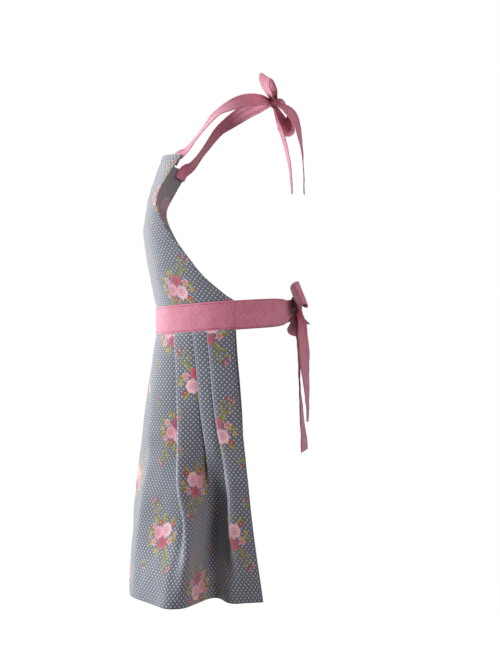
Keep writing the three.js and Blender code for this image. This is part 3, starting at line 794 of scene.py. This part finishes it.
def bud_group():
    """A closed bud on a green cup."""
    group, g, given, out = flower_group("bud", "Petal", "Cup")
    along, across = g.parts(given[0])
    reach = g.vector("LENGTH", given[0])
    g.put(g.fade(reach, 1.0, 0.82), out[0])
    pale = g.mix(0.45, given[1], linear(*BUD_PALE))
    lit = g.mix(g.fade(across, 0.5, -0.3), given[1], pale)
    g.put(g.mix(g.fade(along, -0.2, -0.45), lit, given[2]), out[1])
    return group


# The print's chart, in millimetres from the middle of a spray. The print repeats half-drop, and is turned
# about from one spray to the next.
SPRAY_WIDTH = 118.0
SPRAY_HEIGHT = 166.0
# x, y, angle, half length, half width
LEAVES = [
    (-22, 21, 132, 11.5, 5.1), (-2, 26, 94, 10.9, 4.8), (17, 22, 50, 11.5, 4.9), (27, 3, 8, 10.9, 4.7),
    (25, -16, 328, 11.5, 4.9), (6, -28, 280, 10.9, 4.8), (-15, -26, 240, 10.9, 4.7),
    (-27, -6, 186, 10.9, 4.7), (19, 35, 64, 14.5, 0.7), (14, 39, 112, 6.8, 2.9), (26, 35, 18, 6.8, 2.9),
    (19, 48, 104, 6, 2.6), (31, 44, 28, 6, 2.6), (-19, -36, 242, 14.5, 0.7), (-13, -40, 292, 6.8, 2.9),
    (-26, -33, 198, 6.8, 2.9), (-19, -49, 286, 6, 2.6), (-31, -43, 210, 6, 2.6),
    (-38, 47, 78, 7.3, 0.6), (-42, 47, 132, 5.3, 2.3), (-33, 49, 42, 5.3, 2.3),
    (38, -47, 258, 7.3, 0.6), (42, -47, 312, 5.3, 2.3), (33, -49, 222, 5.3, 2.3),
]
# x, y, turn, radius, pale colour, deep colour
BLOOMS = [
    (-9, 7, 10, 12.5, (246, 202, 208), (186, 62, 92)),
    (10, 1, 40, 11.2, (238, 172, 184), (166, 32, 66)),
    (-3, -14, 75, 10, (206, 82, 108), (130, 10, 40)),
]
EYE, PALE_EYE = (206, 162, 70), (226, 194, 104)
GOLD = ((216, 176, 78), (190, 140, 46), (144, 94, 36))
# x, y, turn, radius, pale colour, deep colour, eye
BLOSSOMS = [
    (18, -15, 20, 7.2, (240, 182, 192), (184, 40, 72), EYE),
    (-21, -10, 50, 7, (238, 174, 186), (180, 36, 68), EYE),
    (8, 18, 5, 6.4, (190, 52, 80), (128, 10, 38), PALE_EYE),
    (23, 11, 33, 5.8, (236, 166, 180), (180, 36, 68), EYE),
    (-23, 18, 12, 5.4, (186, 46, 76), (126, 10, 36), PALE_EYE),
    (30, -6, 60, 4.5, *GOLD),
    (-31, 3, 12, 4.3, *GOLD),
    (11, -28, 25, 4.1, *GOLD),
]
# x, y, angle, half length, half width, petal colour
BUDS = [
    (26, 54, 70, 5.6, 3.9, (160, 20, 52)), (34, 49, 40, 4.4, 3.2, (198, 70, 98)),
    (-26, -54, 246, 5.6, 3.9, (160, 20, 52)), (-34, -48, 216, 4.4, 3.2, (198, 70, 98)),
    (-36, 56, 82, 4.6, 3.3, (178, 40, 72)), (36, -56, 262, 4.6, 3.3, (178, 40, 72)),
]
OLIVE = (162, 154, 80)
OLIVE_DARK = (96, 96, 46)
BUD_PALE = (244, 178, 188)
GROUND = (96, 99, 110)
DOT = (193, 197, 206)
WRONG_SIDE = (140, 142, 148)
# The pale colour painted along the fold edges as a highlight
FOLD_EDGE_HIGHLIGHT = (214, 218, 226)
PINK_LOW, PINK_HIGH = (208, 121, 142), (217, 132, 153)
# The deep red of the painted shade on the gathered ends of the strips and on the knots
PINK_PAINTED_SHADE = (140, 14, 42)
PINK_DOT = (234, 196, 206)
# Pitch of the dots, and the radii where they fade out and are full, in millimetres
PRINT_DOTS = (6.05, 1.6, 1.05)
PINK_DOTS = (8.8, 1.7, 0.5)
PINK_DOT_STRENGTH = 0.42
THREAD_PITCH = 0.55


def pin_dots(g, u, v, pitch, outer, inner):
    """Round dots on a square lattice that is turned to stand on its corner."""
    off = []
    for way in ("ADD", "SUBTRACT"):
        lean = g.math("MULTIPLY", g.math(way, u, v), math.sqrt(0.5) / pitch)
        off.append(g.math("SUBTRACT", g.math("FRACT", lean), 0.5))
    spread = g.vector("LENGTH", g.joined(*off))
    return g.fade(spread, outer / pitch, inner / pitch)


def print_group():
    """The printed cotton's colour at a place on the flat cloth, in millimetres."""
    group, g, given, out = new_group("dotted_sprays", [("Vector", VECTOR)], [("Colour", COLOUR)])
    u, v = g.parts(given[0])

    dots = pin_dots(g, u, v, *PRINT_DOTS)
    colour = g.mix(dots, linear(*GROUND), linear(*DOT))

    column = g.math("FLOOR", g.math("DIVIDE", u, SPRAY_WIDTH))
    odd_column = g.math("FLOORED_MODULO", column, 2.0)
    dropped = g.math("MULTIPLY_ADD", odd_column, SPRAY_HEIGHT / 2, v)
    row = g.math("FLOOR", g.math("DIVIDE", dropped, SPRAY_HEIGHT))
    odd_row = g.math("FLOORED_MODULO", row, 2.0)
    x = g.math("SUBTRACT", u, g.math("MULTIPLY_ADD", column, SPRAY_WIDTH, SPRAY_WIDTH / 2))
    y = g.math("SUBTRACT", dropped, g.math("MULTIPLY_ADD", row, SPRAY_HEIGHT, SPRAY_HEIGHT / 2))
    x = g.math("MULTIPLY", x, g.math("MULTIPLY_ADD", odd_column, -2.0, 1.0))
    y = g.math("MULTIPLY", y, g.math("MULTIPLY_ADD", odd_row, -2.0, 1.0))
    spot = g.joined(x, y)

    leaf, bloom, blossom, bud = leaf_group(), bloom_group(), blossom_group(), bud_group()

    def motif(kind, place, *colours):
        inputs = [g.local(spot, *place)] + [linear(*colour) for colour in colours]
        return g.add("ShaderNodeGroup", dict(enumerate(inputs)), node_tree=kind).outputs

    for row_of in LEAVES:
        mask, shade = motif(leaf, row_of)
        green = g.mix(shade, linear(*OLIVE), linear(*OLIVE_DARK))
        colour = g.mix(mask, colour, green)
    flowers = [(bud, row_of[:5], (row_of[5], OLIVE_DARK)) for row_of in BUDS]
    for kind, chart in ((blossom, BLOSSOMS), (bloom, BLOOMS)):
        flowers += [(kind, (*row_of[:4], row_of[3]), row_of[4:]) for row_of in chart]
    for kind, place, colours in flowers:
        mask, tint = motif(kind, place, *colours)
        colour = g.mix(mask, colour, tint)
    g.put(colour, out[0])
    return group


def weave_group():
    """Plain weave: the height of the threads and their uneven colour, on the flat cloth in millimetres."""
    group, g, given, out = new_group(
        "plain_weave", [("Vector", VECTOR)], [("Height", FLOAT), ("Shade", FLOAT)]
    )
    u, v = g.parts(given[0])
    fine, long = 1.6, 0.05
    slub_shade, soft_shade, soft_scale = 0.14, 0.1, 0.02
    warp, weft = (g.math("SINE", g.math("MULTIPLY", way, math.pi / THREAD_PITCH)) for way in (u, v))
    threads = g.math("MULTIPLY", warp, weft)
    up_slubs = g.noise(g.vector("MULTIPLY", given[0], (fine, long, 1)), 1.0)
    cross_slubs = g.noise(g.vector("MULTIPLY", given[0], (long, fine, 1)), 1.0)
    slubs = g.math("SUBTRACT", g.math("ADD", up_slubs, cross_slubs), 1.0)
    g.put(g.math("MULTIPLY_ADD", threads, 0.5, slubs), out[0])
    soft = g.math("SUBTRACT", g.noise(given[0], soft_scale, 3.0), 0.5)
    uneven = g.math("MULTIPLY_ADD", slubs, slub_shade, g.math("MULTIPLY", soft, soft_shade))
    g.put(g.math("ADD", uneven, 1.0), out[1])
    return group


PRINT = print_group()
WEAVE = weave_group()


def new_material(name):
    material = bpy.data.materials.new(name)
    material.use_nodes = True
    g = Graph(material.node_tree)
    g.tree.nodes.clear()
    return material, g


def surface(g, colour, inputs):
    """The shader and the output of a material."""
    shader = g.add("ShaderNodeBsdfPrincipled", {"Base Color": colour, **inputs})
    g.add("ShaderNodeOutputMaterial", {0: shader.outputs[0]})


def cloth_material(name, colour_of, roughness, sheen):
    """A woven cotton. colour_of adds the nodes of its colour at a place on the flat cloth. A paler line is
    painted along the fold edges as a highlight.
    """
    edge_highlight_share = 0.4
    material, g = new_material(name)
    uv = g.add("ShaderNodeUVMap", uv_map="flat_cloth")
    flat = g.vector("MULTIPLY", uv.outputs[0], (1000, 1000, 1000))
    height, shade = g.add("ShaderNodeGroup", {0: flat}, node_tree=WEAVE).outputs
    fold = g.add("ShaderNodeAttribute", attribute_name="fold_edge_highlight").outputs["Fac"]
    # painted highlight: the fold edges are made paler
    highlighted = g.mix(g.math("MULTIPLY", fold, edge_highlight_share), colour_of(g, flat), linear(*FOLD_EDGE_HIGHLIGHT))
    bump = g.add("ShaderNodeBump", {"Strength": 0.25, "Distance": 0.00012, "Height": height})
    surface(g, g.mix(1.0, highlighted, shade, "MULTIPLY"), {
        "Roughness": roughness, "Specular IOR Level": 0.2, "Sheen Weight": sheen,
        "Sheen Roughness": 0.6, "Normal": bump.outputs[0],
    })
    return material


def printed(g, flat):
    return g.add("ShaderNodeGroup", {0: flat}, node_tree=PRINT).outputs[0]


def printed_back(g, flat):
    """The wrong side of the cloth, where the print only shows through."""
    paler = 0.6
    return g.mix(paler, printed(g, flat), linear(*WRONG_SIDE))


def pink(g, flat):
    """The plain pieces' colour: tiny dots, and painted shade, a deeper red, where the cloth is gathered near
    the knots.
    """
    painted_shade_share = 0.75
    u, v = g.parts(flat)
    dots = g.math("MULTIPLY", pin_dots(g, u, v, *PINK_DOTS), PINK_DOT_STRENGTH)
    cloud = g.fade(g.noise(flat, 0.06, 4.0), 0.3, 0.7)
    ground = g.mix(cloud, linear(*PINK_LOW), linear(*PINK_HIGH))
    gathered = g.add("ShaderNodeAttribute", attribute_name="gathered").outputs["Fac"]
    # painted shade: the pink is darkened towards deep red by the gathered share
    deep = g.mix(g.math("MULTIPLY", gathered, painted_shade_share), ground, linear(*PINK_PAINTED_SHADE))
    return g.mix(dots, deep, linear(*PINK_DOT))


def thread_material(name, colour):
    """Sewing thread with its twist."""
    between_plies = 0.62
    material, g = new_material(name)
    place = g.add("ShaderNodeTexCoord").outputs["Object"]
    twist = g.add("ShaderNodeTexWave", {"Vector": place, "Scale": 900}, bands_direction="DIAGONAL")
    dark = tuple(between_plies * c for c in linear(*colour)[:3])
    surface(g, g.mix(twist.outputs["Fac"], (*dark, 1), linear(*colour)), {"Roughness": 0.55})
    return material


PRINTED_COTTON = cloth_material("printed_cotton", printed, 0.85, 0.65)
PRINTED_BACK = cloth_material("printed_cotton_back", printed_back, 0.9, 0.5)
PINK_COTTON = cloth_material("pink_cotton", pink, 0.8, 0.4)
PINK_THREAD = thread_material("pink_thread", (182, 44, 84))
GREY_THREAD = thread_material("grey_thread", (150, 154, 164))


# Printed pieces

# Where on the printed cloth the bib is cut, in millimetres
BIB_CUT = (47.0, 91.0)


def make_bib():
    # Shares of the half width and of the height: close columns or rows, turned edge, stitches, just inside
    close_side, turned_side, sewn_side, inside_side = 0.94, 0.955, 0.96, 0.95
    close_top, turned_top, sewn_top, inside_top = 0.965, 0.972, 0.968, 0.96
    seam_foot, seam_head, seam_points, stitch_lift = 0.02, 0.962, 80, 0.95
    held_by_band = (0, 0.15)
    crumple, crumple_size = 0.9, 40.0
    edge = np.linspace(1, close_side, 7)
    across = np.concatenate([edge[:-1], np.linspace(close_side, -close_side, 97), -edge[-2::-1]])
    shares = np.concatenate([np.linspace(1, close_top, 6)[:-1], np.linspace(close_top, 0, 84)])
    points, flat = bib_grid(shares, across)
    loose = smooth(*held_by_band, shares)[:, None]
    bm, cells = cloth_mesh(points, flat + BIB_CUT, crumple, crumple_size, loose)
    piece = new_piece("bib_cloth", bm, [PRINTED_COTTON, PRINTED_BACK])
    turned = np.maximum(np.abs(across)[None, :] > turned_side, shares[:, None] > turned_top)
    hem_group(piece, cells, turned)
    give_wall(piece, BIB_WALL, HEM_EXTRA)
    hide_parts("bib")

    rows = []
    tall = np.linspace(seam_foot, seam_head, seam_points)
    depth = crumple * smooth(*held_by_band, tall)
    for side in (1, -1):
        seam, _ = bib_grid(tall, np.array((sewn_side, inside_side)) * side)
        rows.append(sewn_line(seam[:, 0], seam[:, 1], depth, crumple_size, stitch_lift, side))
    top, _ = bib_grid([sewn_top, inside_top], np.linspace(sewn_side, -sewn_side, seam_points))
    rows.append(sewn_line(top[0], top[1], crumple, crumple_size, stitch_lift))
    sewn = stitches("bib_stitches", rows, GREY_THREAD)


def make_skirt():
    # Shares of the drop: close rows, stitches, just below them, and where the cloth is turned or hangs loose
    close_hem, sewn_hem, below_hem = 0.965, 0.969, 0.975
    turned_hem, hangs_loose = (0.967, 0.972), (0.12, 0.6)
    turned_side = (SKIRT_HALF - 9, SKIRT_HALF - 8)
    crumple, crumple_size, crease_highlight, stitch_lift = 1.6, 55.0, 0.9, 0.8
    levels = np.concatenate([np.linspace(0, close_hem, 88), np.linspace(close_hem, 1, 7)[1:]])
    points, flat, crease = skirt_grid(levels)
    loose = smooth(*hangs_loose, levels)[:, None]
    # the creases carry the painted highlight along the fold edges
    bm, cells = cloth_mesh(points, flat, crumple, crumple_size, loose, crease * crease_highlight)
    piece = new_piece("skirt_cloth", bm, [PRINTED_COTTON, PRINTED_BACK])
    low = smooth(*turned_hem, levels)[:, None]
    sides = smooth(*turned_side, np.abs(flat[:, :, 0]))
    hem_group(piece, cells, np.maximum(low, sides))
    give_wall(piece, CLOTH_WALL, HEM_EXTRA)
    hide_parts("skirt")

    line, _, _ = skirt_grid([sewn_hem, below_hem])
    rows = [sewn_line(line[0], line[1], crumple, crumple_size, stitch_lift)]
    sewn = stitches("skirt_stitches", rows, GREY_THREAD)


# Pink pieces

def make_waistband():
    seam_inset, seam_width, seam_depth, seam_lift, seam_thread = 3.2, 1.6, 0.35, 1.45, 0.4
    puffed, pucker, pucker_inset, pucker_width = 0.5, 0.22, 5, 5
    short_pull, long_pull = 5.1, 13.7
    crumple, crumple_size, room_to_puff = 0.35, 30.0, 0.4
    angles = np.linspace(SIDE_ANGLE, -SIDE_ANGLE, 181)
    heights = np.linspace(BAND_HEIGHT, 0, 25)
    outward = waist_outward(angles)
    run = lengths_along(waist_points(angles, 0))
    flat = np.stack(np.broadcast_arrays((run[-1] / 2 - run)[None, :], heights[:, None]), axis=2)

    def by_edges(inset, width):
        return sum(np.exp(-((heights - h) / width) ** 2) for h in (inset, BAND_HEIGHT - inset))

    puff = np.sin(math.pi * heights / BAND_HEIGHT) ** 0.5 - seam_depth * by_edges(seam_inset, seam_width)
    pull = np.sin(run / short_pull) * np.sin(run / long_pull + 1.0)
    stand = puffed * puff[:, None] + pucker * by_edges(pucker_inset, pucker_width)[:, None] * pull
    points = np.array([waist_points(angles, h) for h in heights]) + outward * stand[:, :, None]
    bm, _ = cloth_mesh(points, flat, crumple, crumple_size)
    piece = new_piece("waistband_cloth", bm, [PINK_COTTON, PINK_COTTON])
    give_wall(piece, BAND_WALL - room_to_puff)
    rounded = piece.modifiers.new("rounded", "BEVEL")
    rounded.limit_method = "ANGLE"
    rounded.angle_limit = math.radians(60)
    rounded.width = 0.0008
    rounded.segments = 2
    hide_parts("waistband")
    rows = []
    for height in (seam_inset, BAND_HEIGHT - seam_inset):
        line = waist_points(angles, height)
        rows.append({"points": line, "outward": outward, "lift": seam_lift, "radius": seam_thread})
    sewn = stitches("waistband_stitches", rows, PINK_THREAD)


def make_strip(node, stations, steps, sew, crumple):
    """A tie, strap, loop or tail. sew is the share of its length along which both edges are stitched, from
    its start, or from its end if it is negative."""
    columns, crumple_size = 19, 22.0
    seam_inset, inside_inset = 2.5, 3.0
    gathers = (0.08, 0.6)
    points, flat = strip_grid(stations, steps, np.linspace(-1, 1, columns))
    wide = np.linalg.norm(points[:, 0] - points[:, -1], axis=1)
    full = float(wide.max())
    # painted shade: the more the strip is narrowed towards a knot, the darker its pink is painted
    gathered = smooth(*gathers, 1 - wide / full)
    bm, _ = cloth_mesh(points[:, ::-1], flat[:, ::-1], crumple, crumple_size, gathered=gathered)
    piece = new_piece(node + "_cloth", bm, [PINK_COTTON, PINK_COTTON])
    give_wall(piece, TIE_WALL)
    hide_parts(node)
    with_pieces = []
    if sew:
        start, end = (0, sew) if sew > 0 else (1 + sew, 1)
        keep = slice(int((steps + 1) * start), int((steps + 1) * end))
        rows = []
        for side in (1, -1):
            edges = side * (2 * np.array((seam_inset, inside_inset)) / full - 1)
            lines, _ = strip_grid(stations, steps, edges)
            row = sewn_line(lines[keep, 0], lines[keep, 1], crumple, crumple_size, TIE_WALL / 2, side)
            rows += [row, {**row, "outward": -row["outward"]}]
        with_pieces = [stitches(node + "_stitches", rows, PINK_THREAD)]


def make_knot(node, knot):
    """A bow's knot: a soft barrel of cloth, creased where it is pulled tight."""
    blunt_end, full_middle, within_solid = 0.85, 0.75, 0.96
    creases, crease_height, ripple_height = 3, 0.07, 0.03
    # gathered darkens the whole knot with painted shade
    cloth_across, gathered = 1.6, 0.8
    bm = bmesh.new()
    bmesh.ops.create_uvsphere(bm, u_segments=56, v_segments=32, radius=1)
    uv, fold, painted_shade_layer = cloth_layers(bm)
    centre = np.array(knot["centre"], float)
    half = np.array(knot["half"], float)
    spots = {}
    for vert in bm.verts:
        x, y, z = vert.co
        around = math.atan2(z, y)
        side = math.copysign(abs(x) ** blunt_end, x)
        spread = math.sqrt(max(0.0, 1 - x * x)) ** full_middle
        ridge = 1 + crease_height * math.cos(creases * math.pi * x + 1.2 * math.sin(around)) * spread
        ridge += ripple_height * math.sin(3 * around + 4 * x)
        spots[vert.index] = (x * half[0] * cloth_across, around * half[2])
        place = np.array((side, math.cos(around) * spread * ridge, math.sin(around) * spread * ridge))
        vert.co = to_part(centre + place * half * within_solid)
        vert[fold] = 0.0
        vert[painted_shade_layer] = gathered
    for face in bm.faces:
        face.smooth = True
        seam = [spots[loop.vert.index][1] for loop in face.loops]
        wrap = max(seam) - min(seam) > math.pi * half[2]
        for loop in face.loops:
            u, v = spots[loop.vert.index]
            if wrap and v < 0:
                v += 2 * math.pi * half[2]
            loop[uv].uv = (u / 1000, v / 1000)
    piece = new_piece(node + "_cloth", bm, [PINK_COTTON])
    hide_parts(node)


make_bib()
make_skirt()
make_waistband()

# kind, stations on the left and on the right, steps, how it is held, by what, share stitched, crumple
WAIST_BOW = [
    ("waist_tie", tie_stations(), mirrored(tie_stations()), 60, "stretched", "waistband", 0.72, 0.5),
    ("waist_loop", WAIST_LOOP_LEFT, WAIST_LOOP_RIGHT, 64, "gathered", "waist_knot", None, 0.5),
    ("waist_tail", WAIST_TAIL_LEFT, WAIST_TAIL_RIGHT, 60, "hung", "waist_knot", -0.75, 1.4),
]
NECK_BOW = [
    ("neck_strap", STRAP_LEFT, mirrored(STRAP_LEFT), 80, "stretched", "bib", 0.7, 0.5),
    ("neck_loop", NECK_LOOP_LEFT, NECK_LOOP_RIGHT, 56, "gathered", "neck_knot", None, 0.5),
    ("neck_tail", NECK_TAIL_LEFT, NECK_TAIL_RIGHT, 56, "hung", "neck_knot", -0.7, 0.9),
]
for knot_node, knot, strips in (("waist_knot", WAIST_KNOT, WAIST_BOW), ("neck_knot", NECK_KNOT, NECK_BOW)):
    make_knot(knot_node, knot)
    for kind, left, right, steps, held, holder, sew, crumple in strips:
        make_strip(kind + "_left", left, steps, sew, crumple)
        make_strip(kind + "_right", right, steps, sew, crumple)


# Floor and light

FLOOR_RADIUS = 14
FLOOR_HEIGHT = -1.45
# Distances over which the floor's paper fades into plain white
FLOOR_FADE = (1.2, 3.2)
WHITE = (1, 1, 1, 1)
LIT_PLACE = (0, -0.1, -0.45)
# name, place, size, power, colour
SOFTBOXES = [
    ("front_softbox", (0.6, -3.5, 0.6), 2.0, 150, (0.91, 0.97, 1.0)),
    ("front_right_softbox", (-2.4, -2.8, 0.4), 2.0, 135, (0.96, 0.97, 1.0)),
    ("back_left_softbox", (2.6, 1.7, 0.9), 1.5, 46, (1.0, 0.92, 0.97)),
]
ROOM_LIGHT = (0.18, 0.163, 0.158, 1)


def make_floor():
    bm = bmesh.new()
    bmesh.ops.create_circle(bm, cap_ends=True, radius=FLOOR_RADIUS, segments=64)
    bmesh.ops.translate(bm, verts=bm.verts, vec=(0, 0, FLOOR_HEIGHT))
    material, g = new_material("pale_floor")
    place = g.add("ShaderNodeTexCoord").outputs["Object"]
    far = g.fade(g.vector("LENGTH", place), *FLOOR_FADE)
    paper = g.mix(g.noise(place, 3.0, 3.0), linear(232, 232, 234), linear(240, 240, 241))
    surface(g, g.mix(far, paper, (0, 0, 0, 1)), {
        "Roughness": 0.8, "Specular IOR Level": 0.0, "Emission Strength": 1.0,
        "Emission Color": g.mix(far, (0.62, 0.62, 0.62, 1), WHITE),
    })
    floor = new_object("floor", bm, [material])
    floor.visible_diffuse = False


def make_light():
    for name, place, size, power, colour in SOFTBOXES:
        data = bpy.data.lights.new(name, "AREA")
        data.shape = "DISK"
        data.size, data.energy, data.color = size, power, colour
        lamp = bpy.data.objects.new(name, data)
        lamp.location = place
        way = Vector(LIT_PLACE) - Vector(place)
        lamp.rotation_euler = way.to_track_quat("-Z", "Y").to_euler()
        bpy.context.scene.collection.objects.link(lamp)
    world = bpy.data.worlds.new("studio")
    bpy.context.scene.world = world
    world.use_nodes = True
    g = Graph(world.node_tree)
    g.tree.nodes.clear()
    seen = g.add("ShaderNodeLightPath").outputs["Is Camera Ray"]
    sky = g.add("ShaderNodeBackground", {0: g.mix(seen, ROOM_LIGHT, WHITE)})
    g.add("ShaderNodeOutputWorld", {0: sky.outputs[0]})
    bpy.context.scene.view_settings.view_transform = "Standard"


make_floor()
make_light()
